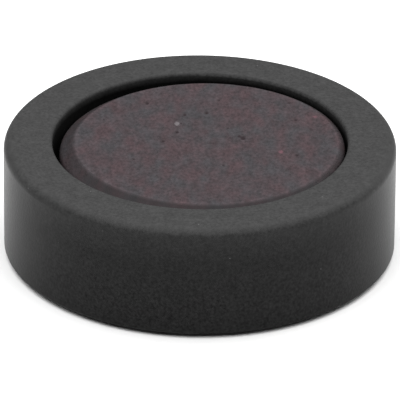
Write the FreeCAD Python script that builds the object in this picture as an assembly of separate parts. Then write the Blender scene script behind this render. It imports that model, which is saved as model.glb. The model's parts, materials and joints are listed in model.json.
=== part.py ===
import FreeCAD, Part
import math
import os

# Magnetic security tag detacher: a round black collar that stands on a counter, with a stack of two ferrite
# discs in its pocket. A tag is set on the upper disc, whose field pulls the tag's clutch open.
# Millimetres, +Z up. The origin is the middle of the circle of feet, on the plane they stand on.

# Driving dimensions.
overall_diameter = 82.0
overall_height = 25.0
pocket_diameter = 61.7
magnet_diameter = 59.6
magnet_thickness = 8.0
face_recess = 0.6
stack_offset_x = 0.45
stack_offset_y = -0.5
plate_thickness = 3.0
cushion_thickness = 0.6
foot_diameter = 9.0
foot_thickness = 1.5
foot_depth_in_cover = 0.4
station_count = 4

# Collar.
top_edge_radius = 2.2
pocket_rim_radius = 0.8
bottom_edge_radius = 0.6
outer_wall = 3.0
pocket_wall = 2.4
top_web = 3.0
plate_ledge = 0.8
ribs_between_bosses = 2
rib_thickness = 1.6
boss_radius = 4.0

# Base cover.
cover_inset = 0.2
cover_thickness = 2.5
cover_lip = 1.4
fit_gap = 0.2
foot_margin = 1.5
platform_ring_width = 7.0
platform_hub_radius = 6.0
platform_ribs = 6
cover_edge_chamfer = 0.4
groove_radius = 24.0
groove_width = 1.2
groove_depth = 0.4

# Magnet discs. The pressed bevel is a cone on the disc's axis, and the face is ground a little out of square
# to that cone, so the bevel is broad on the -X side and narrow on the +X side.
bevel_angle = 33.0
bevel_tilt = 1.15
bevel_radius_at_face = 27.7
disc_chamfer = 0.8

# Countersunk M3 screws in brass inserts.
screw_length = 8.0
screw_shank_radius = 1.45
screw_head_radius = 2.8
screw_head_height = 1.6
screw_drive_width = 0.7
screw_drive_length = 3.2
screw_drive_depth = 0.9
screw_tip_chamfer = 0.3
insert_radius = 2.3
insert_length = 5.0
insert_bore_radius = 1.5
insert_chamfer = 0.3
pilot_depth = 1.0

# Heights, from the counter up.
foot_seat_height = foot_thickness
cover_bottom = foot_thickness - foot_depth_in_cover
collar_bottom = cover_bottom - cover_inset
cover_top = cover_bottom + cover_thickness
collar_top = overall_height
face_height = collar_top - face_recess
upper_magnet_bottom = face_height - magnet_thickness
lower_magnet_bottom = upper_magnet_bottom - magnet_thickness
plate_top = lower_magnet_bottom
plate_bottom = plate_top - plate_thickness
platform_top = plate_bottom - cushion_thickness
core_top = collar_top - top_web

# Radii, from the middle out.
outer_radius = overall_diameter / 2
pocket_radius = pocket_diameter / 2
magnet_radius = magnet_diameter / 2
plate_seat_radius = pocket_radius + plate_ledge
plate_radius = plate_seat_radius - fit_gap
platform_radius = plate_radius - fit_gap
core_inner_radius = pocket_radius + pocket_wall
core_outer_radius = outer_radius - outer_wall
cover_seat_radius = outer_radius - cover_lip
cover_radius = cover_seat_radius - fit_gap
boss_circle_radius = (core_inner_radius + core_outer_radius) / 2
foot_radius = foot_diameter / 2
foot_circle_radius = cover_radius - foot_radius - foot_margin

# Directions of the four screws and of the four feet between them.
station_step = 360.0 / station_count
screw_angles = [station_step * (index + 0.5) for index in range(station_count)]
foot_angles = [station_step * index for index in range(station_count)]

# How far a rib or bar runs into what it joins, and how near two lengths are to count as equal.
root_overlap = 1.0
touch = 1e-4


def disc(radius, bottom, top, x=0.0, y=0.0):
    return Part.makeCylinder(radius, top - bottom, FreeCAD.Vector(x, y, bottom))


def ring(outer, inner, bottom, top):
    return disc(outer, bottom, top).cut(disc(inner, bottom, top))


def on_circle(radius, angle):
    """The x and y of the point at this angle, in degrees, on a circle about the Z axis."""
    return radius * math.cos(math.radians(angle)), radius * math.sin(math.radians(angle))


def rim(shape, radius, height):
    """The level circular edges of a shape that have this radius and lie at this height."""
    return [
        edge
        for edge in shape.Edges
        if isinstance(edge.Curve, Part.Circle)
        and abs(edge.Curve.Radius - radius) < touch
        and abs(edge.Curve.Center.z - height) < touch
    ]


def radial_bars(angles, inner, outer, thickness, bottom, top):
    """Straight bars that run outward from one radius to another, one at each angle."""
    bars = []
    for angle in angles:
        corner = FreeCAD.Vector(inner, -thickness / 2, bottom)
        bar = Part.makeBox(outer - inner, thickness, top - bottom, corner)
        bar.rotate(FreeCAD.Vector(0, 0, 0), FreeCAD.Vector(0, 0, 1), angle)
        bars.append(bar)
    return bars


def rib_angles():
    """Ribs spaced evenly between each pair of neighbouring bosses."""
    step = station_step / (ribs_between_bosses + 1)
    return [angle + step * (index + 1) for angle in screw_angles for index in range(ribs_between_bosses)]


def make_collar():
    body = ring(outer_radius, pocket_radius, collar_bottom, collar_top)
    body = body.makeFillet(top_edge_radius, rim(body, outer_radius, collar_top))
    body = body.makeFillet(pocket_rim_radius, rim(body, pocket_radius, collar_top))
    body = body.makeFillet(bottom_edge_radius, rim(body, outer_radius, collar_bottom))
    core = ring(core_outer_radius, core_inner_radius, cover_top, core_top)
    rib_inner = core_inner_radius - root_overlap
    rib_outer = core_outer_radius + root_overlap
    for rib in radial_bars(rib_angles(), rib_inner, rib_outer, rib_thickness, cover_top, core_top):
        core = core.cut(rib)
    for angle in screw_angles:
        core = core.cut(disc(boss_radius, cover_top, core_top, *on_circle(boss_circle_radius, angle)))
    body = body.cut(core)
    body = body.cut(disc(cover_seat_radius, collar_bottom, cover_top))
    body = body.cut(disc(plate_seat_radius, cover_top, plate_top))
    for angle in screw_angles:
        x, y = on_circle(boss_circle_radius, angle)
        body = body.cut(disc(insert_radius, cover_top, cover_top + insert_length, x, y))
        pilot_top = cover_bottom + screw_length + pilot_depth
        body = body.cut(disc(screw_shank_radius + fit_gap, cover_top, pilot_top, x, y))
    return body


def bevel_cone():
    """The solid cone whose surface holds the upper disc's pressed bevel; its foot lies below the disc."""
    rise_per_radius = math.tan(math.radians(bevel_angle))
    foot_depth = magnet_thickness * 2
    cone = Part.makeCone(
        bevel_radius_at_face + foot_depth / rise_per_radius,
        0,
        foot_depth + bevel_radius_at_face * rise_per_radius,
        FreeCAD.Vector(stack_offset_x, stack_offset_y, face_height - foot_depth),
    )
    face_middle = FreeCAD.Vector(stack_offset_x, stack_offset_y, face_height)
    cone.rotate(face_middle, FreeCAD.Vector(0, 1, 0), -bevel_tilt)
    return cone


def magnet_blank(bottom):
    """A plain disc of the stack, standing at this height, with its lower edge chamfered."""
    body = disc(magnet_radius, bottom, bottom + magnet_thickness, stack_offset_x, stack_offset_y)
    return body.makeChamfer(disc_chamfer, rim(body, magnet_radius, bottom))


def make_upper_magnet():
    return magnet_blank(upper_magnet_bottom).common(bevel_cone())


def make_lower_magnet():
    body = magnet_blank(lower_magnet_bottom)
    return body.makeChamfer(disc_chamfer, rim(body, magnet_radius, upper_magnet_bottom))


def make_back_plate():
    body = disc(plate_radius, plate_bottom, plate_top)
    edges = rim(body, plate_radius, plate_bottom) + rim(body, plate_radius, plate_top)
    return body.makeChamfer(disc_chamfer / 2, edges)


def make_plate_cushion():
    return disc(platform_radius - platform_ring_width / 2, platform_top, plate_bottom)


def make_base_cover():
    body = disc(cover_radius, cover_bottom, cover_top)
    body = body.makeChamfer(cover_edge_chamfer, rim(body, cover_radius, cover_bottom))
    ring_inner = platform_radius - platform_ring_width
    platform = ring(platform_radius, ring_inner, cover_top, platform_top)
    platform = platform.fuse(disc(platform_hub_radius, cover_top, platform_top))
    angles = [360.0 / platform_ribs * index for index in range(platform_ribs)]
    rib_inner = platform_hub_radius - root_overlap
    rib_outer = ring_inner + root_overlap
    bars = radial_bars(angles, rib_inner, rib_outer, rib_thickness, cover_top, platform_top)
    body = body.fuse([platform] + bars).removeSplitter()
    body = body.cut(
        ring(
            groove_radius + groove_width / 2,
            groove_radius - groove_width / 2,
            cover_bottom,
            cover_bottom + groove_depth,
        )
    )
    for angle in foot_angles:
        x, y = on_circle(foot_circle_radius, angle)
        body = body.cut(disc(foot_radius + fit_gap, cover_bottom, foot_seat_height, x, y))
    for angle in screw_angles:
        x, y = on_circle(boss_circle_radius, angle)
        body = body.cut(disc(screw_shank_radius + fit_gap, cover_bottom, cover_top, x, y))
        body = body.cut(
            Part.makeCone(
                screw_head_radius + fit_gap,
                screw_shank_radius + fit_gap,
                screw_head_height,
                FreeCAD.Vector(x, y, cover_bottom),
            )
        )
    return body


def make_base_screw(angle):
    x, y = on_circle(boss_circle_radius, angle)
    shank = disc(screw_shank_radius, cover_bottom, cover_bottom + screw_length, x, y)
    shank = shank.makeChamfer(screw_tip_chamfer, rim(shank, screw_shank_radius, cover_bottom + screw_length))
    head = Part.makeCone(
        screw_head_radius, screw_shank_radius, screw_head_height, FreeCAD.Vector(x, y, cover_bottom)
    )
    body = head.fuse(shank).removeSplitter()
    for turn in (0, 90):
        slot = Part.makeBox(
            screw_drive_length,
            screw_drive_width,
            screw_drive_depth,
            FreeCAD.Vector(x - screw_drive_length / 2, y - screw_drive_width / 2, cover_bottom),
        )
        slot.rotate(FreeCAD.Vector(x, y, 0), FreeCAD.Vector(0, 0, 1), angle + turn)
        body = body.cut(slot)
    return body


def make_screw_insert(angle):
    x, y = on_circle(boss_circle_radius, angle)
    body = disc(insert_radius, cover_top, cover_top + insert_length, x, y)
    body = body.makeChamfer(insert_chamfer, rim(body, insert_radius, cover_top + insert_length))
    return body.cut(disc(insert_bore_radius, cover_top, cover_top + insert_length, x, y))


def make_foot(angle):
    x, y = on_circle(foot_circle_radius, angle)
    body = disc(foot_radius, 0.0, foot_thickness, x, y)
    return body.makeFillet(foot_depth_in_cover / 2, rim(body, foot_radius, 0.0))


def main():
    nodes = {
        "collar": make_collar(),
        "upper_magnet": make_upper_magnet(),
        "lower_magnet": make_lower_magnet(),
        "back_plate": make_back_plate(),
        "plate_cushion": make_plate_cushion(),
        "base_cover": make_base_cover(),
    }
    for number, angle in enumerate(screw_angles, start=1):
        nodes[f"base_screw_{number}"] = make_base_screw(angle)
        nodes[f"screw_insert_{number}"] = make_screw_insert(angle)
    for number, angle in enumerate(foot_angles, start=1):
        nodes[f"foot_{number}"] = make_foot(angle)
    os.makedirs("parts", exist_ok=True)
    for name, shape in nodes.items():
        shape.exportStep(f"parts/{name}.step")
        box = shape.BoundBox
        print(f"{name}: {len(shape.Solids)} solid, valid {shape.isValid()}, {shape.Volume:.1f} mm3,"
              f" z {box.ZMin:.2f} to {box.ZMax:.2f}")


main()
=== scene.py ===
import json
import math
import random

import bpy
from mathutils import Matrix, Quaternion, Vector, noise


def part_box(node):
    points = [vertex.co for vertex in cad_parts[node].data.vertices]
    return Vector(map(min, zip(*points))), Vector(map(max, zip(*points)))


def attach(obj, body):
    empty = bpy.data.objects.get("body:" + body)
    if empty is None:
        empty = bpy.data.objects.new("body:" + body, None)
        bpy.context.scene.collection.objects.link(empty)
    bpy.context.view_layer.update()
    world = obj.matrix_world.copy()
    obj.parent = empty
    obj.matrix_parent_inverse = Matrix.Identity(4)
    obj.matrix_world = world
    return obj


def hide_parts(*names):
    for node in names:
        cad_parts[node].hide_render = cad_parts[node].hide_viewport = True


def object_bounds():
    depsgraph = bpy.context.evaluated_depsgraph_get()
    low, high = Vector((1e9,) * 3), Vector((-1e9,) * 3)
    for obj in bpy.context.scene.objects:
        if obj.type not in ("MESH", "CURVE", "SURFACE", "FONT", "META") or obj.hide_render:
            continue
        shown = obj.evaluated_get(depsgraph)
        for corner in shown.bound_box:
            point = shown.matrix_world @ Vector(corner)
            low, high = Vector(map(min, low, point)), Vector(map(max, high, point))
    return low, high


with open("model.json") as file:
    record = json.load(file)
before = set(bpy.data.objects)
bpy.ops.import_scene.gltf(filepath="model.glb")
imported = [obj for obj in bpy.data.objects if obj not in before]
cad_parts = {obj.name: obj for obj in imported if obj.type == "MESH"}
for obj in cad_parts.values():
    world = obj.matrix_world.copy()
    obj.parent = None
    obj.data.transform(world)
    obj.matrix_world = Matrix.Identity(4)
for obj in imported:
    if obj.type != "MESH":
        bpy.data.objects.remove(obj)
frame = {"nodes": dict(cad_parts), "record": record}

# Looks for the security tag detacher: a black moulded collar round a stack of bare ferrite disc magnets.
# Metres, in the part's own frame: +Z up, the front towards -Y.

MM = 0.001
cad_low, cad_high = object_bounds()

# The collar's outer wall and its magnet pocket, as in the part's source.
OUTER_RADIUS = (cad_high.x - cad_low.x) / 2
POCKET_RADIUS = 30.85 * MM

# Camera: a long lens, looking down at the front of the collar. Angles are in degrees, and the lens and the
# sensor in Blender's own millimetres.
CAMERA_ELEVATION = 27.65
CAMERA_ROLL = 0.45
CAMERA_DISTANCE = 1.4
CAMERA_LENS = 601.6
CAMERA_SENSOR = 36.0
CAMERA_REACH = 50.0
CAMERA_AIM_X = 0.08 * MM
CAMERA_AIM_DROP = 1.64 * MM

# Studio: a pale floor under a wide soft ceiling, and two small lights low behind the object. Powers are in
# watts.
WORLD_STRENGTH = 0.2
FLOOR_SIZE = 6.0
FLOOR_TONE = 0.47
FLOOR_ROUGHNESS = 0.9
CEILING_HEIGHT = 1.5
CEILING_Y = -0.1
CEILING_WIDTH = 3.4
CEILING_DEPTH = 2.8
CEILING_POWER = 165.0
RIM_X = 0.9
RIM_Y = 0.75
RIM_HEIGHT = 0.35
RIM_SIZE = 0.5
LEFT_RIM_POWER = 1.0
RIGHT_RIM_POWER = 4.0

# How the collar's black changes. Down the wall its speckle gets stronger between two heights, and painted
# shade darkens it in two stretches, the steeper one above the knee. Painted shade makes the pocket nearly
# black between two depths below the top. This ends between two distances outside the pocket's radius, so the
# top stays as it is. The outside is smoother than the top, and turns so over the fade's width at the outer
# radius.
SPECKLE_HEIGHTS = (8 * MM, 23 * MM)
WALL_SHADE_TOP = 24 * MM
WALL_SHADE_KNEE = 17 * MM
POCKET_SHADE_START = 0.6 * MM
POCKET_SHADE_END = 2.1 * MM
POCKET_SHADE_EDGES = (0.05 * MM, 0.3 * MM)
POLISH_FADE = 0.6 * MM

# The pressed bevel of the upper disc: a cone that leans a little, so the bevel is broad at -X.
BEVEL_SLOPE = math.tan(math.radians(33.0))
BEVEL_LEAN = math.tan(math.radians(1.15))
BEVEL_FACE_RADIUS = 27.7 * MM
PLAIN_CHAMFER = 0.8 * MM

# How finely the discs are divided: round the axis, and along each stretch of the half-section.
DISC_SEGMENTS = 360
FACE_STEP = 0.3 * MM
COARSE_STEP = 1.5 * MM
CHAMFER_STEPS = 2
SIDE_STEPS = 10
BEVEL_STEPS = 6
CUT_STEPS = 4

# The discs' corners are rounded by cutting a length from each side of them. There are four, from the bottom
# face's edge to the top face's. A point that lies no lower than the drop counts as part of the top face.
FACE_CUT = 0.5 * MM
RIM_CUT = 0.7 * MM
CORNER_CUTS = (FACE_CUT, FACE_CUT, RIM_CUT, FACE_CUT)
FACE_DROP = FACE_CUT / 8

# A painted highlight lightens the top face over this width at its edge. The painted shade of the sides fades
# in over this distance from the level of either face.
EDGE_WIDTH = 0.9 * MM
SIDE_SHADE_FADE = 0.25 * MM

# Chips along the edges. They lie where a fine noise and a slower swell add up to more than the threshold,
# and are cut towards a circle at half height with the target's share of the radius.
CHIP_REACH = 0.7 * MM
CHIP_DEPTH = 0.16 * MM
CHIP_SIZE = 1.3 * MM
CHIP_SWELL = 0.7
CHIP_SWELL_SIZE = 6 * CHIP_SIZE
CHIP_THRESHOLD = 0.28
CHIP_TARGET = 0.8

# The slight unevenness of the top face.
RELIEF_DEPTH = 0.02 * MM
RELIEF_SIZE = 5.0 * MM

# Single marks on the upper disc's face: x and y from its middle, radius, and what it is.
FACE_MARKS = [
    (8.5 * MM, 2.4 * MM, 0.68 * MM, "pit"),
    (7.7 * MM, 3.2 * MM, 0.40 * MM, "pit"),
    (-11.7 * MM, 18.3 * MM, 0.50 * MM, "pit"),
    (-5.3 * MM, 4.9 * MM, 0.44 * MM, "pit"),
    (0.9 * MM, 13.9 * MM, 0.44 * MM, "pit"),
    (-8.2 * MM, 0.7 * MM, 0.42 * MM, "pit"),
    (19.6 * MM, 10.9 * MM, 0.40 * MM, "pit"),
    (19.7 * MM, -5.2 * MM, 0.38 * MM, "pit"),
    (-3.7 * MM, 12.9 * MM, 0.36 * MM, "pit"),
    (18.2 * MM, 18.9 * MM, 0.36 * MM, "pit"),
    (-5.3 * MM, 8.6 * MM, 0.62 * MM, "grain"),
    (16.4 * MM, -3.9 * MM, 0.50 * MM, "red"),
    (23.7 * MM, 12.4 * MM, 0.40 * MM, "red"),
]

# Further small pits, strewn at random over the inner part of the face that has this share of its area.
SMALL_PITS = 12
SMALL_PIT_SEED = 7
SMALL_PIT_SPREAD = 0.85
SMALL_PIT_RADII = (0.18 * MM, 0.28 * MM)

# The marks are longer along Y, and their edges are ragged by a noise with blobs of this share of a mark's
# radius. The gain fills a mark out with its colour. Each kind has its own height and colour.
MARK_LENGTHENING = 1.7
MARK_RAGGEDNESS = 0.35
MARK_RAG_SIZE = 0.6
MARK_GAIN = 1.6
MARK_DEPTH = {"pit": -0.22 * MM, "grain": 0.06 * MM, "red": 0.0}
MARK_TINTS = {
    "pit": (0.008, 0.0045, 0.0055),
    "grain": (0.058, 0.052, 0.055),
    "red": (0.055, 0.026, 0.032),
}


# Placing things.

def pointed(obj, place, target):
    """Puts an object somewhere and turns its -Z axis to a target."""
    obj.location = place
    obj.rotation_mode = "QUATERNION"
    obj.rotation_quaternion = (Vector(target) - Vector(place)).to_track_quat("-Z", "Y")


def make_camera():
    """The photo's camera: it stands in front, looks down, and is rolled a little."""
    data = bpy.data.cameras.new("photo_camera")
    data.lens = CAMERA_LENS
    data.sensor_width = CAMERA_SENSOR
    data.clip_end = CAMERA_REACH
    camera = bpy.data.objects.new("photo_camera", data)
    bpy.context.scene.collection.objects.link(camera)
    slope = math.radians(CAMERA_ELEVATION)
    middle = (cad_low + cad_high) / 2
    upward = Vector((0, math.sin(slope), math.cos(slope)))
    target = Vector((CAMERA_AIM_X, 0, middle.z)) - upward * CAMERA_AIM_DROP
    back = Vector((0, -math.cos(slope), math.sin(slope)))
    pointed(camera, target + back * CAMERA_DISTANCE, target)
    roll = Quaternion((0, 0, 1), math.radians(CAMERA_ROLL))
    camera.rotation_quaternion = camera.rotation_quaternion @ roll
    bpy.context.scene.camera = camera


def area_light(name, place, target, width, height, power):
    """A soft rectangular light that shines at a target."""
    data = bpy.data.lights.new(name, "AREA")
    data.shape = "RECTANGLE"
    data.size = width
    data.size_y = height
    data.energy = power
    light = bpy.data.objects.new(name, data)
    bpy.context.scene.collection.objects.link(light)
    pointed(light, place, target)


# Shader nodes. A fleck is solid out to the core's share of its radius, and a step is a ramp of this width.

FLECK_CORE = 0.6
STEP_WIDTH = 0.001


def node(tree, kind, inputs, **settings):
    """Adds a shader node. An input that is given as a socket is linked, and any other is set."""
    made = tree.nodes.new(kind)
    for name, value in settings.items():
        setattr(made, name, value)
    for name, value in inputs.items():
        if isinstance(value, bpy.types.NodeSocket):
            tree.links.new(value, made.inputs[name])
        else:
            made.inputs[name].default_value = value
    return made


def part_place(tree):
    """The position in the part's own frame, in metres."""
    return node(tree, "ShaderNodeTexCoord", {}).outputs["Object"]


def height_of(tree, place):
    """The height above the counter."""
    return node(tree, "ShaderNodeSeparateXYZ", {"Vector": place}).outputs["Z"]


def distance_from_axis(tree, place):
    """The distance from the collar's axis, whatever the height."""
    level = node(tree, "ShaderNodeVectorMath", {0: place, 1: (1, 1, 0)}, operation="MULTIPLY")
    return node(tree, "ShaderNodeVectorMath", {0: level.outputs[0]}, operation="LENGTH").outputs["Value"]


def painted(tree, name):
    """A value that the mesh carries at its vertices."""
    return node(tree, "ShaderNodeAttribute", {}, attribute_name=name).outputs["Fac"]


def blobs(tree, place, size, detail=2.0):
    """Soft noise with blobs about this many metres across. It lies mostly between 0.3 and 0.7."""
    inputs = {"Vector": place, "Scale": 1 / size, "Detail": detail}
    return node(tree, "ShaderNodeTexNoise", inputs).outputs["Fac"]


def streaks(tree, place, across, along, detail=2.0):
    """Noise drawn out along Y: streaks of this width and length, in metres."""
    stretch = (1 / across, 1 / along, 1 / across)
    drawn = node(tree, "ShaderNodeVectorMath", {0: place, 1: stretch}, operation="MULTIPLY")
    return blobs(tree, drawn.outputs[0], 1.0, detail)


def ranged(tree, value, low, high, to_low=0.0, to_high=1.0):
    """Maps low..high to to_low..to_high and holds the ends."""
    inputs = {"Value": value, "From Min": low, "From Max": high, "To Min": to_low, "To Max": to_high}
    return node(tree, "ShaderNodeMapRange", inputs).outputs["Result"]


def product(tree, first, second):
    """Two numbers multiplied."""
    return node(tree, "ShaderNodeMath", {0: first, 1: second}, operation="MULTIPLY").outputs[0]


def opaque(colour):
    """A colour as the mix node takes it: a socket as it is, and three numbers with an alpha of 1."""
    return colour if isinstance(colour, bpy.types.NodeSocket) else (*colour, 1.0)


def mixed(tree, factor, first, second):
    """A colour between two others."""
    inputs = {0: factor, 6: opaque(first), 7: opaque(second)}
    return node(tree, "ShaderNodeMix", inputs, data_type="RGBA").outputs[2]


def shaded(tree, colour, factor):
    """A colour made darker or lighter by a number."""
    return node(tree, "ShaderNodeVectorMath", {0: colour, 3: factor}, operation="SCALE").outputs[0]


def flecks(tree, place, spacing, radius, share):
    """1 inside small spots scattered through this share of the cells of space, and 0 outside them."""
    cells = node(tree, "ShaderNodeTexVoronoi", {"Vector": place, "Scale": 1 / spacing})
    reach = radius / spacing
    spot = ranged(tree, cells.outputs["Distance"], reach, FLECK_CORE * reach)
    choice = node(tree, "ShaderNodeSeparateColor", {"Color": cells.outputs["Color"]}).outputs["Red"]
    chosen = ranged(tree, choice, 1 - share, 1 - share + STEP_WIDTH)
    return product(tree, spot, chosen)


def bumped(tree, height, depth, below=None):
    """A normal bent by a height field, on top of another bump where one is given."""
    inputs = {"Height": height, "Distance": depth}
    if below is not None:
        inputs["Normal"] = below
    return node(tree, "ShaderNodeBump", inputs).outputs["Normal"]


def finished(name, make_inputs, constants):
    """A material: what make_inputs links, and the constants on the shader's own sockets."""
    material = bpy.data.materials.new(name)
    material.use_nodes = True
    tree = material.node_tree
    shader = tree.nodes["Principled BSDF"]
    for socket, value in constants.items():
        shader.inputs[socket].default_value = value
    for socket, output in make_inputs(tree, part_place(tree)).items():
        tree.links.new(output, shader.inputs[socket])
    return material


# Colours. The scene is exposed for a white floor, so most are darker than the record's.

COLLAR = (0.0184, 0.0184, 0.0184)
COLLAR_DUST = (0.06, 0.06, 0.06)
FERRITE_GREY = (0.0187, 0.0171, 0.0189)
FERRITE_RED = (0.0242, 0.0155, 0.0173)
FERRITE_PORE = (0.010, 0.008, 0.009)
COVER = (0.014, 0.014, 0.0145)
COVER_SCUFF = (0.05, 0.05, 0.05)
STEEL = (0.20, 0.205, 0.21)
STEEL_STAIN = (0.15, 0.147, 0.138)
FOAM = (0.03, 0.03, 0.031)
ZINC = (0.27, 0.27, 0.275)
ZINC_YELLOWED = (0.24, 0.23, 0.20)
BRASS = (0.34, 0.26, 0.13)
BRASS_DULLED = (0.26, 0.18, 0.09)
RUBBER = (0.022, 0.022, 0.023)
RUBBER_DUST = (0.075, 0.072, 0.068)


# Materials.

def collar_speckle(tree, height, grain):
    """Fine light and dark grains of the collar's black, weaker towards the top."""
    darkest = ranged(tree, height, *SPECKLE_HEIGHTS, 0.22, 0.7)
    lightest = ranged(tree, height, *SPECKLE_HEIGHTS, 1.78, 1.3)
    return ranged(tree, grain, 0.25, 0.75, darkest, lightest)


def painted_wall_shade(tree, height):
    """Painted shade: how the collar gets darker down its wall."""
    above_knee = ranged(tree, height, WALL_SHADE_KNEE, WALL_SHADE_TOP, 0.55, 1.0)
    below_knee = ranged(tree, height, 0.0, WALL_SHADE_KNEE, 0.75, 1.0)
    return product(tree, above_knee, below_knee)


def painted_pocket_shade(tree, height, from_axis):
    """Painted shade: how the collar gets darker down its pocket."""
    pocket_dark = cad_high.z - POCKET_SHADE_END
    pocket_light = cad_high.z - POCKET_SHADE_START
    depth = ranged(tree, height, pocket_dark, pocket_light, 0.04, 1.0)
    inner, outer = POCKET_SHADE_EDGES
    return ranged(tree, from_axis, POCKET_RADIUS + inner, POCKET_RADIUS + outer, depth, 1.0)


def collar_black(tree, place):
    """Spark-textured black moulding, a little dusty: matt on top, smoother outside, painted shade down the
    wall and in the pocket.
    """
    height = height_of(tree, place)
    from_axis = distance_from_axis(tree, place)
    grain = blobs(tree, place, 0.6 * MM, 3.0)
    speckle = collar_speckle(tree, height, grain)
    tone = ranged(tree, blobs(tree, place, 2.5 * MM, 3.0), 0.3, 0.7, 0.9, 1.1)
    colour = COLLAR
    # The wall's and the pocket's factors are painted shade; the speckle and the tone are the moulding's own.
    for shade in (speckle, tone, painted_wall_shade(tree, height), painted_pocket_shade(tree, height, from_axis)):
        colour = shaded(tree, colour, shade)
    dust = flecks(tree, place, 3.2 * MM, 0.16 * MM, 0.3)
    polish = ranged(tree, from_axis, OUTER_RADIUS - POLISH_FADE, OUTER_RADIUS, 0.65, 0.34)
    unevenness = ranged(tree, grain, 0.3, 0.7, 0.9, 1.1)
    return {
        "Base Color": mixed(tree, dust, colour, COLLAR_DUST),
        "Roughness": product(tree, polish, unevenness),
        "Normal": bumped(tree, grain, 0.03 * MM),
    }


def ferrite(tree, place):
    """Sintered ferrite: ground faces mottled red and grey, painted shade on the sides, a painted highlight at
    the face's edge.
    """
    patches = ranged(tree, streaks(tree, place, 4 * MM, 8 * MM, 4.0), 0.36, 0.64)
    colour = mixed(tree, patches, FERRITE_GREY, FERRITE_RED)
    grain = streaks(tree, place, 0.6 * MM, 0.9 * MM, 4.0)
    speckle = ranged(tree, grain, 0.25, 0.75, 0.6, 1.4)
    cloud = ranged(tree, streaks(tree, place, 1.6 * MM, 3.2 * MM, 3.0), 0.3, 0.7, 0.85, 1.15)
    # Painted shade darkens the sides and the bevel, away from the level of either face.
    painted_side_shade = ranged(tree, painted(tree, "painted_side_shade"), 0.0, 1.0, 1.0, 0.54)
    # A painted highlight lightens the top face along its edge.
    edge = ranged(tree, painted(tree, "edge"), 0.0, 1.0, 1.0, 1.3)
    for shade in (product(tree, speckle, cloud), painted_side_shade, edge):
        colour = shaded(tree, colour, shade)
    pores = flecks(tree, place, 1.4 * MM, 0.22 * MM, 0.5)
    colour = mixed(tree, ranged(tree, pores, 0.0, 1.0, 0.0, 0.55), colour, FERRITE_PORE)
    for kind, tint in MARK_TINTS.items():
        colour = mixed(tree, painted(tree, kind), colour, tint)
    ground = streaks(tree, place, 0.18 * MM, 5 * MM)
    return {
        "Base Color": colour,
        "Roughness": ranged(tree, grain, 0.3, 0.7, 0.6, 0.8),
        "Normal": bumped(tree, ground, 0.004 * MM, bumped(tree, grain, 0.035 * MM)),
    }


def cover_black(tree, place):
    """Coarser textured black moulding, scuffed by counters."""
    grain = blobs(tree, place, 0.8 * MM, 3.0)
    colour = shaded(tree, COVER, ranged(tree, grain, 0.25, 0.75, 0.7, 1.3))
    scuffs = ranged(tree, streaks(tree, place, 0.3 * MM, 14 * MM), 0.66, 0.74)
    marks_and_painted_light = product(tree, scuffs, ranged(tree, blobs(tree, place, 12 * MM), 0.5, 0.7))
    return {
        "Base Color": mixed(tree, marks_and_painted_light, colour, COVER_SCUFF),
        "Roughness": ranged(tree, grain, 0.3, 0.7, 0.42, 0.58),
        "Normal": bumped(tree, grain, 0.04 * MM),
    }


def plate_steel(tree, place):
    """Zinc-plated sheet with rolling lines, and dull where the disc rubs on it."""
    lines = streaks(tree, place, 0.12 * MM, 30 * MM)
    stain = ranged(tree, blobs(tree, place, 8 * MM, 4.0), 0.4, 0.65)
    colour = mixed(tree, stain, STEEL, STEEL_STAIN)
    return {
        "Base Color": shaded(tree, colour, ranged(tree, lines, 0.3, 0.7, 0.9, 1.05)),
        "Roughness": ranged(tree, stain, 0.0, 1.0, 0.4, 0.48),
        "Normal": bumped(tree, lines, 0.004 * MM),
    }


def foam(tree, place):
    """Closed-cell foam sheet."""
    bubbles = node(tree, "ShaderNodeTexVoronoi", {"Vector": place, "Scale": 1 / (0.5 * MM)})
    cells = bubbles.outputs["Distance"]
    return {
        "Base Color": shaded(tree, FOAM, ranged(tree, cells, 0.0, 0.7, 0.6, 1.4)),
        "Roughness": ranged(tree, cells, 0.0, 0.7, 0.8, 0.95),
        "Normal": bumped(tree, cells, 0.12 * MM),
    }


def screw_steel(tree, place):
    """Bright zinc plating, a little yellow and smeared."""
    smear = blobs(tree, place, 1.2 * MM, 3.0)
    yellowed = ranged(tree, smear, 0.35, 0.65)
    colour = mixed(tree, yellowed, ZINC, ZINC_YELLOWED)
    return {
        "Base Color": colour,
        "Roughness": ranged(tree, smear, 0.3, 0.7, 0.22, 0.38),
        "Normal": bumped(tree, blobs(tree, place, 0.15 * MM), 0.006 * MM),
    }


def insert_brass(tree, place):
    """Turned brass with fine tool rings."""
    inputs = {"Vector": place, "Scale": 1 / (1.2 * MM), "Distortion": 0.3}
    rings = node(tree, "ShaderNodeTexWave", inputs, bands_direction="Z").outputs["Fac"]
    dulled = blobs(tree, place, 1.5 * MM, 3.0)
    return {
        "Base Color": mixed(tree, dulled, BRASS, BRASS_DULLED),
        "Roughness": ranged(tree, dulled, 0.3, 0.7, 0.25, 0.4),
        "Normal": bumped(tree, rings, 0.01 * MM),
    }


def foot_rubber(tree, place):
    """Soft matt rubber that has picked up dust."""
    skin = blobs(tree, place, 0.35 * MM, 3.0)
    dust = ranged(tree, blobs(tree, place, 2.5 * MM, 4.0), 0.5, 0.75, 0.0, 0.5)
    return {
        "Base Color": mixed(tree, dust, RUBBER, RUBBER_DUST),
        "Roughness": ranged(tree, skin, 0.3, 0.7, 0.75, 0.92),
        "Normal": bumped(tree, skin, 0.03 * MM),
    }


FINISHES = {
    "collar_black": (collar_black, {"Specular IOR Level": 0.08}),
    "ferrite": (ferrite, {"Specular IOR Level": 0.1}),
    "cover_black": (cover_black, {"Specular IOR Level": 0.3}),
    "plate_steel": (plate_steel, {"Metallic": 1.0}),
    "foam": (foam, {"Specular IOR Level": 0.2}),
    "screw_steel": (screw_steel, {"Metallic": 1.0}),
    "insert_brass": (insert_brass, {"Metallic": 1.0}),
    "foot_rubber": (foot_rubber, {"Specular IOR Level": 0.3}),
}


# The two magnet discs.

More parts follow.
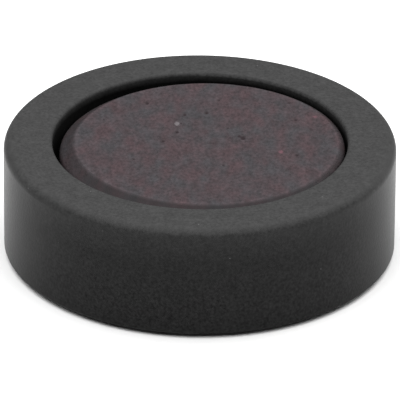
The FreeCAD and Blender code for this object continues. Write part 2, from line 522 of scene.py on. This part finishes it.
def bevelled_top(x, radius, top):
    """Where the leaning cone cuts the side and the face, for a point of the rim at this x."""
    side_drop = BEVEL_SLOPE * (radius - BEVEL_FACE_RADIUS) - BEVEL_LEAN * x
    face_radius = BEVEL_FACE_RADIUS + BEVEL_LEAN / BEVEL_SLOPE * x
    return Vector((radius, top - side_drop)), Vector((face_radius, top))


def plain_top(x, radius, top):
    """The same two points where the edge has a plain chamfer, which doesn't change with x."""
    return Vector((radius, top - PLAIN_CHAMFER)), Vector((radius - PLAIN_CHAMFER, top))


def section(corners, cuts, steps):
    """The points of a half-section, with each corner rounded over its own cut length."""
    points = []
    start = corners[0]
    for before, corner, after, cut, count in zip(corners, corners[1:], corners[2:], cuts, steps):
        first = corner + (before - corner).normalized() * cut
        last = corner + (after - corner).normalized() * cut
        points += [start.lerp(first, index / count) for index in range(count)]
        for index in range(CUT_STEPS):
            part = index / CUT_STEPS
            points.append(first.lerp(corner, part).lerp(corner.lerp(last, part), part))
        start = last
    return points + [start.lerp(corners[-1], index / steps[-1]) for index in range(steps[-1] + 1)]


def chip_depth(place, nearest):
    """How much is chipped away at a place this far from the nearest edge."""
    reach = max(0.0, 1 - nearest / CHIP_REACH)
    flaw = noise.noise(place / CHIP_SIZE) + CHIP_SWELL * noise.noise(place / CHIP_SWELL_SIZE)
    return CHIP_DEPTH * reach * max(0.0, flaw - CHIP_THRESHOLD)


def mark_strength(x, y, mark):
    """How strong a single mark is at a place on the face: 1 in its middle, 0 outside its ragged edge."""
    mark_x, mark_y, mark_radius, _ = mark
    ragged = 1 + MARK_RAGGEDNESS * noise.noise(Vector((x, y, 0)) / (MARK_RAG_SIZE * mark_radius))
    away = math.hypot(x - mark_x, (y - mark_y) / MARK_LENGTHENING) / (mark_radius * ragged)
    return max(0.0, 1 - away * away)


def face_marks(radius):
    """The single marks, and small pits strewn over the face."""
    draw = random.Random(SMALL_PIT_SEED)
    marks = list(FACE_MARKS)
    for _ in range(SMALL_PITS):
        angle = draw.uniform(0, 2 * math.pi)
        reach = radius * math.sqrt(draw.uniform(0.0, SMALL_PIT_SPREAD))
        pit_radius = draw.uniform(*SMALL_PIT_RADII)
        marks.append((reach * math.cos(angle), reach * math.sin(angle), pit_radius, "pit"))
    return marks


def face_finish(place, marks):
    """How high the worn top face lies at a place, and how strong each kind of mark is there."""
    height = -RELIEF_DEPTH * (0.5 + 0.5 * noise.noise(place / RELIEF_SIZE))
    strengths = dict.fromkeys(MARK_DEPTH, 0.0)
    for mark in marks:
        kind = mark[-1]
        strength = mark_strength(place.x, place.y, mark)
        strengths[kind] = max(strengths[kind], strength)
        height += MARK_DEPTH[kind] * strength
    return height, strengths


def worn_point(point, corners, across, along, marks):
    """A point of the half-section as a vertex, chipped and marked, and the values that its material reads
    there: how strong the painted shade of the sides is, how strong the painted highlight near the top face's
    edge is, and how strong each kind of mark is."""
    bottom = corners[0].y
    side = corners[2].x
    face_edge = corners[-2]
    place = Vector((point.x * across, point.x * along, point.y))
    nearest = min((point - corner).length for corner in corners[1:-1])
    inward = (Vector((CHIP_TARGET * side, 0.0)) - point).normalized()
    chipped = point + inward * chip_depth(place, nearest)

    height = chipped.y
    from_ground = min(face_edge.y - height, height - bottom)
    # Painted shade on the sides and the bevel, fading out towards the level of either face.
    values = {"painted_side_shade": min(1.0, max(0.0, from_ground) / SIDE_SHADE_FADE), "edge": 0.0}
    values.update(dict.fromkeys(MARK_DEPTH, 0.0))
    if height > face_edge.y - FACE_DROP and chipped.x < face_edge.x:
        relief, strengths = face_finish(place, marks)
        height += relief
        # A painted highlight along the top face's edge.
        values["edge"] = max(0.0, 1 - (chipped - face_edge).length / EDGE_WIDTH)
        values.update({kind: min(1.0, MARK_GAIN * strength) for kind, strength in strengths.items()})
    return Vector((chipped.x * across, chipped.x * along, height)), values


def disc_surface(corners_at, steps, marks):
    """The half-sections set round the axis: their vertices, the material's values at each, and the numbers
    of the vertices along each half-section. They all share the two vertices on the axis."""
    vertices = []
    values = {kind: [] for kind in ("painted_side_shade", "edge", *MARK_DEPTH)}
    outlines = []
    for index in range(DISC_SEGMENTS):
        angle = 2 * math.pi * index / DISC_SEGMENTS
        across = math.cos(angle)
        along = math.sin(angle)
        corners = corners_at(across)
        outline = []
        for row, point in enumerate(section(corners, CORNER_CUTS, steps)):
            if index > 0 and point.x == 0.0:
                outline.append(outlines[0][row])
                continue
            vertex, marks_and_painted_light = worn_point(point, corners, across, along, marks)
            outline.append(len(vertices))
            vertices.append(vertex)
            for kind, value in marks_and_painted_light.items():
                values[kind].append(value)
        outlines.append(outline)
    return vertices, values, outlines


def faces_between(outlines):
    """Faces from each half-section to the next: quads, and triangles where they meet on the axis."""
    faces = []
    for outline, following in zip(outlines, outlines[1:] + outlines[:1]):
        for row in range(len(outline) - 1):
            around = [outline[row], following[row], following[row + 1], outline[row + 1]]
            faces.append(list(dict.fromkeys(around)))
    return faces


def make_disc(name, top_corners, face_step, marks):
    """A magnet disc as a fine mesh, in the place of the plain one that has this name."""
    low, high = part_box(name)
    middle = (low + high) / 2
    radius = (high.x - low.x) / 2
    bottom = low.z - middle.z
    top = high.z - middle.z

    def corners_at(across):
        """The corners of the half-section in the direction that has this cosine."""
        return [
            Vector((0.0, bottom)),
            Vector((radius - PLAIN_CHAMFER, bottom)),
            Vector((radius, bottom + PLAIN_CHAMFER)),
            *top_corners(radius * across, radius, top),
            Vector((0.0, top)),
        ]

    bottom_steps = round(radius / COARSE_STEP)
    face_steps = round(BEVEL_FACE_RADIUS / face_step)
    steps = (bottom_steps, CHAMFER_STEPS, SIDE_STEPS, BEVEL_STEPS, face_steps)
    vertices, values, outlines = disc_surface(corners_at, steps, marks)

    mesh = bpy.data.meshes.new(f"{name}_disc")
    mesh.from_pydata([vertex + middle for vertex in vertices], [], faces_between(outlines))
    mesh.shade_smooth()
    for kind, numbers in values.items():
        mesh.attributes.new(kind, "FLOAT", "POINT").data.foreach_set("value", numbers)
    disc = bpy.data.objects.new(f"{name}_disc", mesh)
    bpy.context.scene.collection.objects.link(disc)
    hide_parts(name)
    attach(disc, "magnet_stack")
    return disc


# The studio.

def make_floor():
    """A large pale floor, just bright enough to come out white."""
    half = FLOOR_SIZE / 2
    mesh = bpy.data.meshes.new("floor")
    corners = [(-half, -half, 0), (half, -half, 0), (half, half, 0), (-half, half, 0)]
    mesh.from_pydata(corners, [], [range(4)])
    floor = bpy.data.objects.new("floor", mesh)
    bpy.context.scene.collection.objects.link(floor)
    material = bpy.data.materials.new("floor_white")
    material.use_nodes = True
    shader = material.node_tree.nodes["Principled BSDF"]
    shader.inputs["Base Color"].default_value = (FLOOR_TONE, FLOOR_TONE, FLOOR_TONE, 1.0)
    shader.inputs["Roughness"].default_value = FLOOR_ROUGHNESS
    shader.inputs["Specular IOR Level"].default_value = 0.0
    mesh.materials.append(material)


def make_light():
    """An even, dim world, the ceiling, and the two rim lights."""
    world = bpy.data.worlds.new("studio")
    world.use_nodes = True
    background = world.node_tree.nodes["Background"]
    background.inputs["Color"].default_value = (1.0, 1.0, 1.0, 1.0)
    background.inputs["Strength"].default_value = WORLD_STRENGTH
    bpy.context.scene.world = world
    bpy.context.scene.view_settings.view_transform = "Standard"
    above = (0.0, CEILING_Y, CEILING_HEIGHT)
    below = (0.0, CEILING_Y, 0.0)
    area_light("ceiling", above, below, CEILING_WIDTH, CEILING_DEPTH, CEILING_POWER)
    middle = (cad_low + cad_high) / 2
    for name, x, power in (("left_rim", -RIM_X, LEFT_RIM_POWER), ("right_rim", RIM_X, RIGHT_RIM_POWER)):
        area_light(name, (x, RIM_Y, RIM_HEIGHT), middle, RIM_SIZE, RIM_SIZE, power)


make_camera()
make_floor()
make_light()

materials = {slot: finished(slot, *finish) for slot, finish in FINISHES.items()}
slot_of = {row["node"]: row["material_slot"] for row in frame["record"]["subparts"]}
for name, part in frame["nodes"].items():
    part.material_slots[0].material = materials[slot_of[name]]

discs = [
    make_disc("upper_magnet", bevelled_top, FACE_STEP, face_marks(BEVEL_FACE_RADIUS)),
    make_disc("lower_magnet", plain_top, COARSE_STEP, []),
]
for disc in discs:
    disc.data.materials.append(materials["ferrite"])
